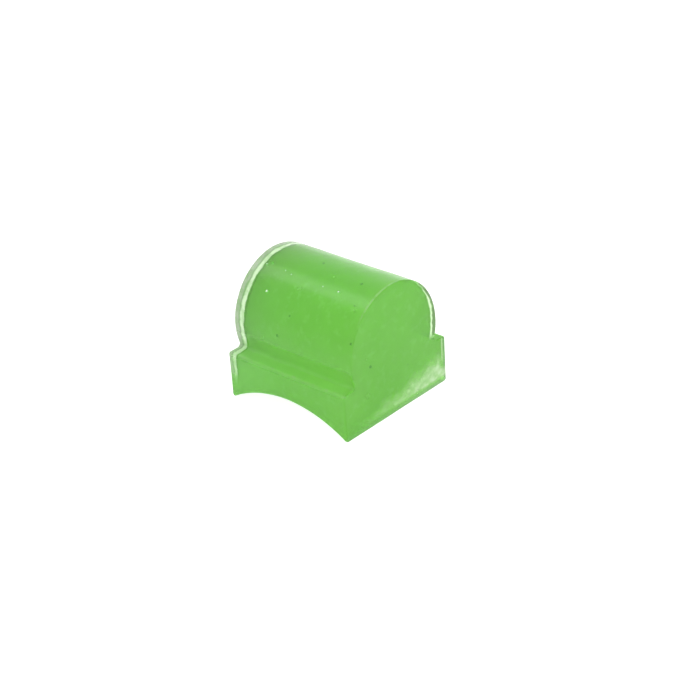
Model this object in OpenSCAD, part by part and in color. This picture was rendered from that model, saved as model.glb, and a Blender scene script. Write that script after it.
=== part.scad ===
// Vibration dampener for a racket's string bed, moulded in one piece from soft translucent gel.
// A round button lies along +Y on a wider base flange. The button's lower half narrows to a neck
// just above the flange, so that two neighbouring strings sit on the flange's ledges, one on each
// side, with the button on one side of the string bed and the flange on the other.
// +X runs across the flange and +Z up through the button's crown. The origin is at the centre of
// the base, level with its two feet.

/* [Moulding] */
// Length of the moulding, along the strings
body_l = 16.4; // [12:0.1:20]
// Height from the feet to the button's crown
body_h = 14.7; // [14:0.1:16]

/* [Round button] */
// Diameter of the round button
button_d = 13.4; // [12:0.1:14]

/* [Base flange] */
// Width of the flange, across both strings
flange_w = 16; // [15.5:0.1:20]
// Height of the string ledges above the feet
flange_h = 5.4; // [4.5:0.1:6]
// Radius of the flange's long edges
flange_edge_r = 0.3; // [0.1:0.05:0.6]

/* [String seats] */
// Radius in the corner between the neck and a ledge
seat_r = 0.35; // [0.1:0.05:0.5]

/* [Underside arch] */
// Rise of the arch above the feet, halfway along the moulding
arch_rise = 2.2; // [1:0.1:3]
// Length of the flat foot left at each end of the arch
foot_l = 0.3; // [0.1:0.1:1]

/* [Hidden] */
$fn = 96;
gel_colour = [0.46, 0.76, 0.35];
overcut = 1;

button_r = button_d / 2;
button_z = body_h - button_r;

// The seat's corner arc sinks slightly into the ledge and the button, so it ends on both in an
// edge and not in an endless sliver.
seat_sink = 0.01;
seat_centre_r = seat_r - seat_sink;
seat_z = flange_h + seat_centre_r;
seat_x = sqrt(pow(button_r + seat_centre_r, 2) - pow(button_z - seat_z, 2));

// The arch is a circle through the inner edges of both feet.
arch_chord = body_l - 2 * foot_l;
arch_r = (pow(arch_chord / 2, 2) + pow(arch_rise, 2)) / (2 * arch_rise);

// Rectangle standing on the axis, with all four corners rounded by true arcs.
module rounded_rectangle(w, h, r) {
    translate([-w / 2 + r, 0]) square([w - 2 * r, h]);
    translate([-w / 2, r]) square([w, h - 2 * r]);
    for (x = [-w / 2 + r, w / 2 - r], z = [r, h - r])
        translate([x, z]) circle(r = r);
}

// Web that fills the corner between the button and the ledge, on the +X side.
module seat_web() {
    difference() {
        polygon([[0, flange_h], [seat_x, flange_h], [seat_x, seat_z], [0, button_z]]);
        translate([seat_x, seat_z]) circle(r = seat_r);
    }
}

// End view of the moulding: flange, button and the two string seats.
module end_profile() {
    rounded_rectangle(flange_w, flange_h, flange_edge_r);
    translate([0, button_z]) circle(r = button_r);
    seat_web();
    mirror([1, 0]) seat_web();
}

// Cylinder across the width that hollows the underside, clear of the cross string.
module underside_arch() {
    translate([0, 0, arch_rise - arch_r])
        rotate([0, 90, 0])
            cylinder(r = arch_r, h = flange_w + 2 * overcut, center = true);
}

module dampener_body() {
    color(gel_colour)
        difference() {
            rotate([90, 0, 0])
                linear_extrude(height = body_l, center = true)
                    end_profile();
            underside_arch();
        }
}

dampener_body();
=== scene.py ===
"""Racket vibration dampener: one moulding of soft, translucent green gel."""
import math
import random

import bpy
from mathutils import Matrix, Vector, noise


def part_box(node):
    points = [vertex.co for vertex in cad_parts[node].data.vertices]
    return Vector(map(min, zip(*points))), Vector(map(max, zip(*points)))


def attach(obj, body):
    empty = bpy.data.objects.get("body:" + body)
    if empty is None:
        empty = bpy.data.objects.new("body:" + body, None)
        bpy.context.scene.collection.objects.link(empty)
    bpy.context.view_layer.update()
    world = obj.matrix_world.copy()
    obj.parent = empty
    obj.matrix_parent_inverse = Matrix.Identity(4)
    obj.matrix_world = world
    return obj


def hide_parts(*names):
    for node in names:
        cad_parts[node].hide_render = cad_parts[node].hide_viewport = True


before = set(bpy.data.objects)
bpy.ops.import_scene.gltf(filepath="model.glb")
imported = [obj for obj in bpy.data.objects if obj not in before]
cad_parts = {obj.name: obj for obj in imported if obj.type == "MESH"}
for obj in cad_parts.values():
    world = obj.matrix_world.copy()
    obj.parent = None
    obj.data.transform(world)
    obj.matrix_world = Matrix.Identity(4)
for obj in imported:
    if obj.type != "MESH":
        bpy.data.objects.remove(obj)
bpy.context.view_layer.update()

noise.seed_set(7)    # the vector noise would otherwise be seeded by the clock

MM = 0.001
BODY = "root"
NODE = "dampener_body"

# ---------------------------------------------------------------- sizes, from the CAD solid
low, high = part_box(NODE)
HALF_W = (high.x - low.x) / 2
HALF_L = (high.y - low.y) / 2
CROWN_Z = high.z
BASE_Z = low.z
BUTTON_R = 6.7 * MM
BUTTON_Z = CROWN_Z - BUTTON_R
LEDGE_Z = BASE_Z + 5.4 * MM
SEAT_R = 0.35 * MM
FLANGE_EDGE_R = 0.3 * MM
ARCH_RISE = 2.2 * MM
FOOT_L = 0.3 * MM

NEAR_EDGE_R = 0.12 * MM    # rounding of the -Y end's edge
FAR_EDGE_R = 0.25 * MM     # rounding of the +Y end's edge
WAVE_HEIGHT = 0.03 * MM    # unevenness of the moulded surface
WAVE_LENGTH = 3 * MM
CAP_RINGS = (0.985, 0.94, 0.86, 0.76, 0.64, 0.5, 0.35, 0.2, 0.08)
RUN_STEPS = 100            # rings along the straight run

ARCH_HALF = HALF_L - FOOT_L
ARCH_R = (ARCH_HALF**2 + ARCH_RISE**2) / (2 * ARCH_RISE)
SEAT_Z = LEDGE_Z + SEAT_R
SEAT_X = math.sqrt((BUTTON_R + SEAT_R) ** 2 - (BUTTON_Z - SEAT_Z) ** 2)

# ---------------------------------------------------------------- the gel's colours and optics
GEL = (0.190, 0.630, 0.050, 1)
GEL_DEEP = (0.172, 0.607, 0.038, 1)
GEL_PALE = (0.235, 0.690, 0.095, 1)
# painted shade: darker over the crown
GEL_CROWN_PAINTED_SHADE = (0.155, 0.570, 0.028, 1)
# painted light: paler towards the +Y end
GEL_FAR_PAINTED_LIGHT = (0.205, 0.710, 0.070, 1)
# painted light filling the string seats
SEAT_PAINTED_LIGHT = (0.31, 0.70, 0.20, 1)
# painted light and shade of the rims, for light seen through the thin edges: pale outside, a
# half-shaded grey, a bright highlight and dark lines
RIM_PAINTED_OUTER_LIGHT = (0.43, 0.52, 0.38, 1)
RIM_PAINTED_HALF_SHADE = (0.26, 0.42, 0.21, 1)
RIM_PAINTED_HIGHLIGHT = (0.74, 0.93, 0.64, 1)
RIM_PAINTED_SHADE_LINE = (0.12, 0.42, 0.04, 1)
RIM_PAINTED_SHADE = (0.13, 0.22, 0.09, 1)
# painted shade along the -Y end's edges
EDGE_PAINTED_SHADE = (0.22, 0.41, 0.20, 1)
# painted pale light, for highlights and for light coming through the thin gel
PAINTED_PALE_LIGHT = (0.49, 0.64, 0.42, 1)
GEL_IOR = 1.42
GEL_DENSITY = 300          # scattering events per metre
GEL_SCATTER = (0.955, 0.986, 0.922, 1)

BROAD_MOTTLE = 5 * MM      # sizes of the patches in the gel's colour
FINE_MOTTLE = 0.8 * MM
SATIN_PATCH = 1.5 * MM     # size of the patches in its gloss
SATIN = 0.20               # roughness of the surface, from this to SATIN_MORE above it
SATIN_MORE = 0.10
MATT_MORE = 0.35           # how much rougher the seats and the underside are
DIMPLE = 1.1 * MM          # size of the faint dimples in the surface
DIMPLE_DEPTH = 0.1 * MM

RIM_WIDTH = 1.5 * MM       # width of the painted rim of light along the +Y end
RIM_SHIFT_X = 0.84 * MM    # how far the inner edge of the -Y end's painted crescent of light lies off its outline
RIM_SHIFT_Z = 0.5 * MM
RIM_STRIP = 0.30 * MM      # width of the painted bright strip inside that edge
RIM_WOBBLE = 0.6 * MM      # how far the painted rims and painted light stray from an even line
PAINTED_LIGHT_TOP = 4.2 * MM        # height of the painted light above the -Y end's bottom edge
LEDGE_LINE = 0.28 * MM     # half the height of the painted highlight line along the flange's upper edges


# ---------------------------------------------------------------- small helpers
def link(obj):
    bpy.context.scene.collection.objects.link(obj)
    return obj


def mesh_object(name, points, faces):
    mesh = bpy.data.meshes.new(name)
    mesh.from_pydata([tuple(p) for p in points], [], faces)
    mesh.validate()
    mesh.shade_smooth()
    return link(bpy.data.objects.new(name, mesh))


def arc(cx, cz, r, start, end, steps):
    """Points on an arc in the XZ plane, both ends included. Angles are in degrees."""
    out = []
    for i in range(steps + 1):
        a = math.radians(start + (end - start) * i / steps)
        out.append((cx + r * math.cos(a), cz + r * math.sin(a)))
    return out


def line(ax, az, bx, bz, steps):
    """Points between two ends, neither end included."""
    return [(ax + (bx - ax) * i / steps, az + (bz - az) * i / steps) for i in range(1, steps)]


# ---------------------------------------------------------------- the moulding's shape
def underside_z(y):
    """Height of the underside: two flat feet with an arch between them."""
    if abs(y) >= ARCH_HALF:
        return BASE_Z
    return BASE_Z + math.sqrt(ARCH_R**2 - y * y) - (ARCH_R - ARCH_RISE)


def end_outline(y, inset):
    """The closed outline across the moulding at y, drawn in by inset."""
    side_x = HALF_W - inset
    foot_z = underside_z(y) + inset
    ledge_z = LEDGE_Z - inset
    edge_r = FLANGE_EDGE_R - inset
    seat_r = SEAT_R + inset
    neck = math.degrees(math.atan2(SEAT_Z - BUTTON_Z, SEAT_X))
    half = [(0.0, foot_z)]
    half += line(0, foot_z, side_x - edge_r, foot_z, 26)
    half += arc(side_x - edge_r, foot_z + edge_r, edge_r, -90, 0, 6)
    half += line(side_x, foot_z + edge_r, side_x, ledge_z - edge_r, 16)
    half += arc(side_x - edge_r, ledge_z - edge_r, edge_r, 0, 90, 6)
    half += line(side_x - edge_r, ledge_z, SEAT_X, ledge_z, 8)
    half += arc(SEAT_X, SEAT_Z, seat_r, 270, 180 + neck, 10)
    half += arc(0, BUTTON_Z, BUTTON_R - inset, neck, 90, 60)[1:]
    return half + [(-x, z) for x, z in reversed(half[1:-1])]


def rounded_end(edge_r):
    """(distance from the end, inset) from the end face to the start of the straight run."""
    steps = [math.radians(90 * i / 6) for i in range(7)]
    return [(edge_r * (1 - math.cos(a)), edge_r * (1 - math.sin(a))) for a in steps]


def stations():
    """(y, inset) from the -Y end to the +Y end."""
    near = [(-HALF_L + back, inset) for back, inset in rounded_end(NEAR_EDGE_R)]
    far = [(HALF_L - back, inset) for back, inset in rounded_end(FAR_EDGE_R)][::-1]
    start, end = near[-1][0], far[0][0]
    run = []
    for i in range(1, RUN_STEPS):
        share = (1 - math.cos(math.pi * i / RUN_STEPS)) / 2
        run.append((start + (end - start) * share, 0.0))
    return near + run + far


def uneven(p):
    """The point moved by the slight unevenness of a soft moulding, never below the floor."""
    moved = p + noise.noise_vector(p / WAVE_LENGTH) * WAVE_HEIGHT
    moved.z = max(moved.z, BASE_Z)
    return moved


def gel_body():
    """The outer surface: rings along Y, closed at each end by rings that shrink to a hub."""
    rings = [[Vector((x, y, z)) for x, z in end_outline(y, inset)] for y, inset in stations()]
    points = [p for ring in rings for p in ring]
    n = len(rings[0])
    faces = []
    for r in range(len(rings) - 1):
        for i in range(n):
            j = (i + 1) % n
            faces.append((r * n + j, r * n + i, (r + 1) * n + i, (r + 1) * n + j))
    hub_z = LEDGE_Z * 0.75     # every point of the end's outline can be seen from here
    for end, flip in ((0, False), (len(rings) - 1, True)):
        before = end * n
        y = rings[end][0].y
        for scale in CAP_RINGS:
            start = len(points)
            for p in rings[end]:
                points.append(Vector((p.x * scale, y, hub_z + (p.z - hub_z) * scale)))
            for i in range(n):
                j = (i + 1) % n
                quad = (before + i, before + j, start + j, start + i)
                faces.append(quad[::-1] if flip else quad)
            before = start
        hub = len(points)
        points.append(Vector((0, y, hub_z)))
        for i in range(n):
            tri = (before + i, before + (i + 1) % n, hub)
            faces.append(tri[::-1] if flip else tri)
    return mesh_object("gel_body", [uneven(p) for p in points], faces)


# ---------------------------------------------------------------- bubbles and specks in the gel
BUBBLE_COVER = -0.02       # mm of gel over each bubble and speck, or standing proud if below 0
SPECK_COVER = 0.14
END_SPECK_COVER = 0.08
FINE_BUBBLES = 16

# (angle round the button from +X in degrees, place along Y in mm, radius in mm)
BUBBLES = [(139, 4.6, 0.20), (115, 6.5, 0.16), (112, 6.0, 0.19), (115, 3.8, 0.09), (117, 2.8, 0.09),
           (118, -1.7, 0.09), (118, -3.8, 0.20), (62, 2.5, 0.14), (40, -4.5, 0.12), (20, 3.5, 0.16)]
SPECKS = [(175, 2.1, 0.15), (91, 0.9, 0.14), (101, -5.3, 0.15), (153, 0.7, 0.10), (158, -7.8, 0.12),
          (60, -2.0, 0.14), (15, 5.5, 0.12), (125, -6.5, 0.08)]
# (x in mm, height above the base in mm, radius in mm), one of each on both ends
END_SPECKS = [(-3.7, 6.9, 0.15), (2.0, 4.6, 0.08)]


def lump(centre, radius, seed):
    """Points and faces of one small, uneven, rounded blob."""
    rows, columns = 7, 10
    points = []
    for r in range(rows + 1):
        tall = math.pi * r / rows
        for c in range(columns if 0 < r < rows else 1):
            turn = 2 * math.pi * c / columns
            out = math.sin(tall)
            p = Vector((out * math.cos(turn), out * math.sin(turn), math.cos(tall)))
            swell = 1 + 0.25 * noise.noise(p * 1.3 + Vector((seed, 0, 0)))
            points.append(centre + p * radius * swell)
    last = len(points) - 1
    faces = []
    for c in range(columns):
        d = (c + 1) % columns
        faces.append((0, 1 + c, 1 + d))
        for r in range(rows - 2):
            a, b = 1 + r * columns, 1 + (r + 1) * columns
            faces.append((a + c, b + c, b + d, a + d))
        faces.append((1 + (rows - 2) * columns + c, last, 1 + (rows - 2) * columns + d))
    return points, faces


def lumps(name, places):
    """One object of many small blobs, given as (centre, radius)."""
    points, faces = [], []
    for seed, (centre, radius) in enumerate(places):
        new_points, new_faces = lump(centre, radius, seed)
        start = len(points)
        points += new_points
        faces += [tuple(start + i for i in face) for face in new_faces]
    return mesh_object(name, points, faces)


def under_button(angle, y, radius, cover):
    """A blob at the button's round surface, with cover of gel over it, or bare if below 0."""
    a, r = math.radians(angle), BUTTON_R - (radius + cover) * MM
    return Vector((r * math.cos(a), y * MM, BUTTON_Z + r * math.sin(a))), radius * MM


def under_end(x, z, radius, cover, side):
    """A blob just under an end face. side is -1 for the -Y end and 1 for the +Y end."""
    y = side * (HALF_L - (radius + cover) * MM)
    return Vector((x * MM, y, BASE_Z + z * MM)), radius * MM


def fine_bubbles(count):
    """Small bubbles scattered through the button, the same each run."""
    draw = random.Random(7)
    places = []
    for _ in range(count):
        angle, y = draw.uniform(-10, 190), draw.uniform(-7.2, 7.2)
        places.append(under_button(angle, y, draw.uniform(0.03, 0.06), draw.uniform(0.1, 1.2)))
    return places


# ---------------------------------------------------------------- shader node helpers
def new_material(name, **values):
    mat = bpy.data.materials.new(name)
    mat.use_nodes = True
    shader = mat.node_tree.nodes["Principled BSDF"]
    for key, value in values.items():
        shader.inputs[key.replace("_", " ")].default_value = value
    return mat, mat.node_tree, shader


def feed(tree, value, socket):
    """Gives a socket a plain value or a link."""
    if isinstance(value, bpy.types.NodeSocket):
        tree.links.new(value, socket)
    else:
        socket.default_value = value


def maths(tree, operation, a, b=0.0):
    node = tree.nodes.new("ShaderNodeMath")
    node.operation = operation
    feed(tree, a, node.inputs[0])
    feed(tree, b, node.inputs[1])
    return node.outputs[0]


def product(tree, *values):
    out = values[0]
    for value in values[1:]:
        out = maths(tree, "MULTIPLY", out, value)
    return out


def fade(tree, value, start, end):
    """0 up to start and 1 from end on, smooth between. start may be the larger."""
    node = tree.nodes.new("ShaderNodeMapRange")
    node.interpolation_type = "SMOOTHSTEP"
    feed(tree, value, node.inputs["Value"])
    feed(tree, start, node.inputs["From Min"])
    feed(tree, end, node.inputs["From Max"])
    return node.outputs["Result"]


def inverse(tree, value):
    return maths(tree, "SUBTRACT", 1.0, value)


def parts(tree, vector):
    """The X, Y and Z of a vector."""
    node = tree.nodes.new("ShaderNodeSeparateXYZ")
    feed(tree, vector, node.inputs[0])
    return node.outputs


def between(tree, value, low, high):
    """A value from 0 to 1 spread from low to high."""
    return maths(tree, "ADD", product(tree, value, high - low), low)


def tint(tree, share, under, over):
    """The colour over laid on the colour under by share."""
    node = tree.nodes.new("ShaderNodeMix")
    node.data_type = "RGBA"
    feed(tree, share, node.inputs["Factor"])
    feed(tree, under, node.inputs["A"])
    feed(tree, over, node.inputs["B"])
    return node.outputs["Result"]


def cloud(tree, where, size, detail=3.0):
    """Noise from 0 to 1 whose patches are about size across."""
    node = tree.nodes.new("ShaderNodeTexNoise")
    feed(tree, where, node.inputs["Vector"])
    node.inputs["Scale"].default_value = 1 / size
    node.inputs["Detail"].default_value = detail
    return node.outputs["Fac"]


def bands(tree, value, reach, stops):
    """Colours along a distance, from 0 to reach, as (share of reach, colour) stops."""
    node = tree.nodes.new("ShaderNodeValToRGB")
    node.color_ramp.interpolation = "EASE"
    elements = node.color_ramp.elements
    while len(elements) < len(stops):
        elements.new(0.5)
    for element, (place, colour) in zip(elements, stops):
        element.position = place
        element.color = colour
    feed(tree, maths(tree, "DIVIDE", value, reach), node.inputs["Fac"])
    return node.outputs["Color"]


def depth_in_outline(tree, x, z):
    """How deep a point of an end face lies inside the end's outline; negative outside it."""
    up = maths(tree, "SUBTRACT", z, BUTTON_Z)
    from_axis = maths(tree, "SQRT", maths(tree, "ADD", product(tree, x, x), product(tree, up, up)))
    in_button = maths(tree, "SUBTRACT", BUTTON_R, from_axis)
    in_side = maths(tree, "SUBTRACT", HALF_W, maths(tree, "ABSOLUTE", x))
    in_flange = maths(tree, "MINIMUM", in_side, maths(tree, "SUBTRACT", LEDGE_Z, z))
    return maths(tree, "MAXIMUM", in_button, in_flange)


# ---------------------------------------------------------------- the gel's colour zones: random mottling, and painted light and shade
class Coat:
    """Colours laid over each other on the gel, with how milky and how matt its surface is."""

    def __init__(self, tree, colour):
        self.tree, self.colour, self.milky, self.matt = tree, colour, 0.0, 0.0

    def lay(self, share, colour, milky=0.0):
        """Lays a colour on by share, and makes the surface milky by milky where it is laid."""
        self.colour = tint(self.tree, share, self.colour, colour)
        if milky:
            self.whiten(product(self.tree, share, milky))

    def whiten(self, milky):
        self.milky = maths(self.tree, "MAXIMUM", self.milky, milky)

    def roughen(self, matt):
        self.matt = maths(self.tree, "ADD", self.matt, matt)


def seats_and_ledges_painted_light(tree, coat, x, y, z, fine):
    """The string seats, made a little paler with painted light, with a broken painted highlight
    line along the flange's upper edges.
    """
    at_seat = product(
        tree,
        fade(tree, z, LEDGE_Z + 2.2 * MM, LEDGE_Z + 0.6 * MM),
        fade(tree, z, LEDGE_Z - 0.4 * MM, LEDGE_Z - 0.1 * MM),
        fade(tree, maths(tree, "ABSOLUTE", y), HALF_L, HALF_L - 0.4 * MM))
    coat.lay(product(tree, at_seat, 0.8), SEAT_PAINTED_LIGHT)
    coat.roughen(product(tree, at_seat, MATT_MORE))

    off_ledge = maths(tree, "ABSOLUTE", maths(tree, "SUBTRACT", z, LEDGE_Z))
    on_line = fade(tree, off_ledge, LEDGE_LINE, 0.05 * MM)
    at_side = fade(tree, maths(tree, "ABSOLUTE", x), HALF_W - 0.5 * MM, HALF_W - 0.1 * MM)
    broken = fade(tree, fine, 0.45, 0.65)
    coat.lay(product(tree, on_line, at_side, broken, 0.35), PAINTED_PALE_LIGHT, 0.5)


def far_rim_painted_light(tree, coat, x, y, z, wobble, fine, on_far_end):
    """Painted light along the +Y end's edge: pale outside, a painted highlight in the middle, a
    painted dark line inside.

    It is narrower on the flange and stops above the foot. The end face has a soft border of painted
    pale light.
    """
    above_foot = fade(tree, z, BASE_Z + 1.5 * MM, BASE_Z + 3.6 * MM)
    on_button = fade(tree, z, LEDGE_Z - 1.0 * MM, LEDGE_Z + 1.5 * MM)
    patchy = between(tree, fade(tree, fine, 0.35, 0.6), 0.82, 1.0)

    reach = RIM_WIDTH * 1.2
    depth = maths(tree, "ADD", maths(tree, "SUBTRACT", HALF_L, y), product(tree, wobble, 0.7))
    depth = product(tree, depth, between(tree, on_button, 1.3, 1.0))
    # bands of painted light and shade, standing in for the background seen through the thin edge
    rim = bands(tree, depth, reach, (
        (0.00, RIM_PAINTED_OUTER_LIGHT), (0.34, RIM_PAINTED_OUTER_LIGHT),
        (0.46, RIM_PAINTED_HALF_SHADE),
        (0.58, RIM_PAINTED_HIGHLIGHT), (0.76, RIM_PAINTED_HIGHLIGHT),
        (0.86, RIM_PAINTED_SHADE_LINE), (0.90, RIM_PAINTED_SHADE_LINE),
        (1.00, GEL)))
    rim_light_share = product(
        tree, above_foot, inverse(tree, on_far_end), between(tree, on_button, 0.8, 1.0), patchy)
    coat.lay(product(tree, fade(tree, depth, reach, reach * 0.92), rim_light_share), rim)
    coat.whiten(product(tree, fade(tree, depth, reach * 0.85, reach * 0.76), rim_light_share, 0.6))

    # a soft border of painted pale light on the end face
    in_face = maths(tree, "ADD", depth_in_outline(tree, x, z), wobble)
    border = fade(tree, in_face, 1.5 * MM, 0.2 * MM)
    coat.lay(product(tree, on_far_end, border, above_foot, patchy), PAINTED_PALE_LIGHT, 0.5)


def top_painted_highlight(tree, coat, x, y, z, fine, on_near_end):
    """A thin, broken painted highlight line over the top of the -Y end's edge."""
    at_edge = fade(tree, maths(tree, "ADD", y, HALF_L), 0.34 * MM, 0.1 * MM)
    high_up = fade(tree, z, BUTTON_Z + 4.0 * MM, BUTTON_Z + 5.6 * MM)
    on_left = fade(tree, x, 2 * MM, -0.5 * MM)
    broken = between(tree, fade(tree, fine, 0.4, 0.55), 0.3, 1.0)
    share = product(tree, at_edge, high_up, on_left, inverse(tree, on_near_end), broken, 0.5)
    coat.lay(share, RIM_PAINTED_HIGHLIGHT, 0.3)


def crescent_painted_light(tree, coat, x, z, wobble, fine, on_near_end):
    """Painted light and shade in a crescent on the -Y end, on the +X side of the button.

    From the middle of the face outwards: a painted darker line, a painted bright strip and a
    painted dark outer edge.
    """
    past_inner = depth_in_outline(
        tree, maths(tree, "ADD", x, RIM_SHIFT_X), maths(tree, "SUBTRACT", z, RIM_SHIFT_Z))
    past_inner = maths(tree, "ADD", past_inner, product(tree, wobble, 0.6))
    above_flange = product(
        tree, on_near_end, fade(tree, z, LEDGE_Z + 0.2 * MM, LEDGE_Z + 1.4 * MM))
    low_down = between(tree, fade(tree, z, BUTTON_Z + 5 * MM, BUTTON_Z + 1.5 * MM), 0.1, 1.0)
    strip_end = product(tree, low_down, between(tree, fine, 0.3, 1.5), -RIM_STRIP)
    past_strip = fade(tree, maths(tree, "SUBTRACT", past_inner, strip_end), 0.05 * MM, -0.10 * MM)
    in_strip = product(
        tree, fade(tree, past_inner, 0.10 * MM, -0.08 * MM), inverse(tree, past_strip))
    inside = product(tree, fade(tree, past_inner, 0.5 * MM, 0.1 * MM),
                     fade(tree, past_inner, 0.0, 0.06 * MM))
    # painted shade lines and a painted bright strip of light
    coat.lay(product(tree, above_flange, inside, 0.5), RIM_PAINTED_SHADE_LINE)
    coat.lay(product(tree, above_flange, past_strip, 0.95), RIM_PAINTED_SHADE, 0.6)
    coat.lay(product(tree, above_flange, in_strip), RIM_PAINTED_HIGHLIGHT, 0.7)


def flange_edge_painted_light(tree, coat, x, z, on_near_end):
    """Painted shade and light on the -Y end's +X edge below the ledge: painted grey shade outside,
    with a thin painted highlight line inside.
    """
    to_side = maths(tree, "SUBTRACT", HALF_W, x)
    on_flange = product(
        tree, on_near_end, fade(tree, z, LEDGE_Z + 0.1 * MM, LEDGE_Z - 0.2 * MM))
    grey = fade(tree, to_side, 0.5 * MM, 0.3 * MM)
    pale_line = product(
        tree,
        fade(tree, to_side, 0.75 * MM, 0.6 * MM),
        fade(tree, to_side, 0.35 * MM, 0.5 * MM),
        fade(tree, z, BASE_Z + 2.0 * MM, BASE_Z + 3.0 * MM))
    coat.lay(product(tree, on_flange, grey, 0.9), EDGE_PAINTED_SHADE, 0.3)
    coat.lay(product(tree, on_flange, pale_line, 0.8), PAINTED_PALE_LIGHT, 0.6)


def bottom_painted_light(tree, coat, x, z, wobble, fine, on_near_end):
    """Patchy painted light above the -Y end's bottom edge, widest and brightest towards +X."""
    off_corner = between(tree, fade(tree, x, HALF_W - 0.1 * MM, HALF_W - 1.3 * MM), 0.55, 1.0)
    top = product(tree, fade(tree, x, -HALF_W * 1.8, HALF_W), PAINTED_LIGHT_TOP, off_corner)
    ragged_z = maths(tree, "ADD", z, product(tree, wobble, 3.0))
    rising = fade(tree, z, BASE_Z + 0.3 * MM, BASE_Z + 1.0 * MM)
    falling = fade(tree, ragged_z, top, product(tree, top, 0.4))
    strength = fade(tree, x, -HALF_W * 1.3, HALF_W * 0.9)
    patchy = between(tree, fade(tree, fine, 0.3, 0.7), 0.65, 1.0)
    coat.lay(product(tree, on_near_end, rising, falling, strength, patchy), PAINTED_PALE_LIGHT, 0.75)

    # painted shade along the very bottom edge
    at_bottom = fade(tree, z, BASE_Z + 0.75 * MM, BASE_Z + 0.3 * MM)
    share = product(tree, on_near_end, at_bottom, between(tree, strength, 0.4, 1.0))
    coat.lay(share, EDGE_PAINTED_SHADE, 0.3)


def gel_surface(tree, coords):
    """Mottled green with painted light and shade: painted pale light along the rims and in the
    seats, milky along the rims, a painted darker crown and a painted paler +Y end; matt in the
    seats and underneath.
    """
    where = coords.outputs["Object"]
    x, y, z = parts(tree, where)
    _, facing_y, facing_z = parts(tree, coords.outputs["Normal"])
    on_near_end = fade(tree, facing_y, -0.55, -0.9)
    on_far_end = fade(tree, facing_y, 0.55, 0.9)
    broad = cloud(tree, where, BROAD_MOTTLE)
    fine = cloud(tree, where, FINE_MOTTLE, 5.0)
    uneven_by = maths(tree, "ADD", cloud(tree, where, 2.2 * MM), cloud(tree, where, 0.7 * MM))
    wobble = product(tree, maths(tree, "SUBTRACT", uneven_by, 1.0), RIM_WOBBLE)

    coat = Coat(tree, tint(tree, fade(tree, broad, 0.35, 0.65), GEL_DEEP, GEL))
    coat.lay(fade(tree, fine, 0.5, 0.8), GEL_PALE)
    # painted light: paler towards the +Y end, below the crown
    off_crown = fade(tree, z, CROWN_Z - 0.6 * MM, CROWN_Z - 3.0 * MM)
    coat.lay(product(tree, fade(tree, y, -2 * MM, HALF_L - 2 * MM), off_crown, 0.8), GEL_FAR_PAINTED_LIGHT)
    # painted shade: darker over the crown
    coat.lay(fade(tree, z, CROWN_Z - 1.4 * MM, CROWN_Z - 0.2 * MM), GEL_CROWN_PAINTED_SHADE)
    # painted light and shade along the seats, rims, edges and bottom of the ends
    seats_and_ledges_painted_light(tree, coat, x, y, z, fine)
    far_rim_painted_light(tree, coat, x, y, z, wobble, fine, on_far_end)
    top_painted_highlight(tree, coat, x, y, z, fine, on_near_end)
    crescent_painted_light(tree, coat, x, z, wobble, fine, on_near_end)
    flange_edge_painted_light(tree, coat, x, z, on_near_end)
    bottom_painted_light(tree, coat, x, z, wobble, fine, on_near_end)
    coat.roughen(product(tree, fade(tree, facing_z, -0.3, -0.7), MATT_MORE))
    return coat


# ---------------------------------------------------------------- materials
def gel_material():
    """Clear green surface over a gel that scatters light, so thin places let light through."""
    mat, tree, shader = new_material("gel", IOR=GEL_IOR)
    coords = tree.nodes.new("ShaderNodeTexCoord")
    where = coords.outputs["Object"]
    coat = gel_surface(tree, coords)
    feed(tree, coat.colour, shader.inputs["Base Color"])
    feed(tree, inverse(tree, coat.milky), shader.inputs["Transmission Weight"])
    satin = between(tree, cloud(tree, where, SATIN_PATCH), SATIN, SATIN + SATIN_MORE)
    feed(tree, maths(tree, "ADD", satin, coat.matt), shader.inputs["Roughness"])
    bump = tree.nodes.new("ShaderNodeBump")
    bump.inputs["Strength"].default_value = 0.3
    bump.inputs["Distance"].default_value = DIMPLE_DEPTH
    feed(tree, cloud(tree, where, DIMPLE, 1.0), bump.inputs["Height"])
    feed(tree, bump.outputs["Normal"], shader.inputs["Normal"])
    inside = tree.nodes.new("ShaderNodeVolumePrincipled")
    inside.inputs["Color"].default_value = GEL_SCATTER
    inside.inputs["Absorption Color"].default_value = (0, 0, 0, 1)
    inside.inputs["Density"].default_value = GEL_DENSITY
    feed(tree, inside.outputs["Volume"], tree.nodes["Material Output"].inputs["Volume"])
    return mat


def mottled_material(name, dark, light, size, roughness):
    mat, tree, shader = new_material(name, Roughness=roughness)
    where = tree.nodes.new("ShaderNodeTexCoord").outputs["Object"]
    feed(tree, tint(tree, cloud(tree, where, size), dark, light), shader.inputs["Base Color"])
    return mat


def light_paths():
    """Enough bounces for light to find its way through the gel."""
    cycles = bpy.context.scene.cycles
    cycles.max_bounces = 48
    cycles.volume_bounces = 36
    cycles.transmission_bounces = 24


# ---------------------------------------------------------------- stage
def floor():
    size = 0.6
    points = [(-size, -size, 0), (size, -size, 0), (size, size, 0), (-size, size, 0)]
    obj = mesh_object("floor", points, [(0, 1, 2, 3)])
    mat, tree, shader = new_material("floor", Roughness=0.9, Emission_Strength=0.9)
    shader.inputs["Base Color"].default_value = (0.35, 0.35, 0.35, 1)
    shader.inputs["Emission Color"].default_value = (1, 1, 1, 1)
    obj.data.materials.append(mat)


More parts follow.
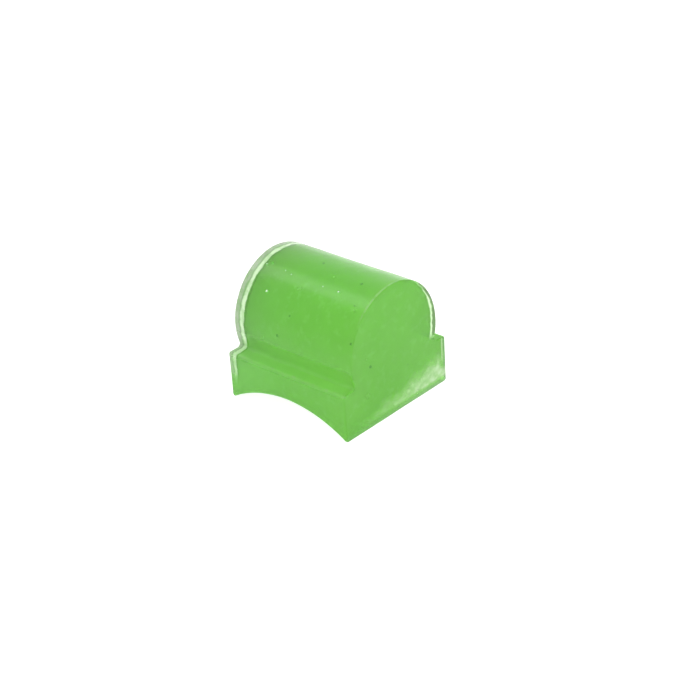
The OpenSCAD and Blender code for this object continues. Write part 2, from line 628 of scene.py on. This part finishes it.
def studio_light():
    world = bpy.data.worlds.new("studio")
    world.use_nodes = True
    world.node_tree.nodes["Background"].inputs["Color"].default_value = (1, 1, 1, 1)
    world.node_tree.nodes["Background"].inputs["Strength"].default_value = 1.3
    bpy.context.scene.world = world
    lamp = bpy.data.lights.new("softbox", "AREA")
    lamp.shape = "DISK"
    lamp.size = 0.12
    lamp.energy = 0.08
    obj = link(bpy.data.objects.new("softbox", lamp))
    centre = Vector((0, 0, CROWN_Z / 2))
    obj.location = centre + direction(-172, 52) * 0.35
    obj.rotation_mode = "QUATERNION"
    obj.rotation_quaternion = (centre - obj.location).to_track_quat("-Z", "Y")


def direction(azimuth, elevation):
    """Unit vector from the object towards a viewer. Azimuth 0 looks along +Y and 90 along -X."""
    a, e = math.radians(azimuth), math.radians(elevation)
    return Vector((math.sin(a) * math.cos(e), -math.cos(a) * math.cos(e), math.sin(e)))


def camera():
    azimuth, elevation, roll = -46.3, 28.15, math.radians(-4.0)
    distance = 188.2 * MM
    aside, above = -0.5 * MM, 1.35 * MM
    back = direction(azimuth, elevation)
    level = Vector((math.cos(math.radians(azimuth)), math.sin(math.radians(azimuth)), 0))
    upright = back.cross(level)
    right = level * math.cos(roll) + upright * math.sin(roll)
    up = upright * math.cos(roll) - level * math.sin(roll)
    data = bpy.data.cameras.new("camera")
    data.sensor_width = 36
    data.lens = 95
    data.clip_start = 0.01
    data.clip_end = 10
    obj = link(bpy.data.objects.new("camera", data))
    place = Vector((0, 0, CROWN_Z / 2)) - right * aside - up * above + back * distance
    obj.matrix_world = Matrix.Translation(place) @ Matrix((right, up, back)).transposed().to_4x4()
    bpy.context.scene.camera = obj


camera()
floor()
studio_light()
light_paths()
bpy.context.scene.view_settings.view_transform = "Standard"

body = gel_body()
body.data.materials.append(gel_material())
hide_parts(NODE)

bubble_places = [under_button(*place, BUBBLE_COVER) for place in BUBBLES]
bubbles = lumps("air_bubbles", bubble_places + fine_bubbles(FINE_BUBBLES))
# painted glint: the bubbles' pale colour stands in for the light they catch
bubbles.data.materials.append(
    mottled_material("bubble", (0.60, 0.88, 0.52, 1), (0.82, 0.97, 0.75, 1), 0.2 * MM, 0.3))

speck_places = [under_button(*place, SPECK_COVER) for place in SPECKS]
speck_places += [
    under_end(*place, END_SPECK_COVER, side) for place in END_SPECKS for side in (-1, 1)]
specks = lumps("dark_specks", speck_places)
specks.data.materials.append(
    mottled_material("speck", (0.22, 0.52, 0.09, 1), (0.32, 0.62, 0.16, 1), 0.1 * MM, 0.6))

for piece in (body, bubbles, specks):
    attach(piece, BODY)
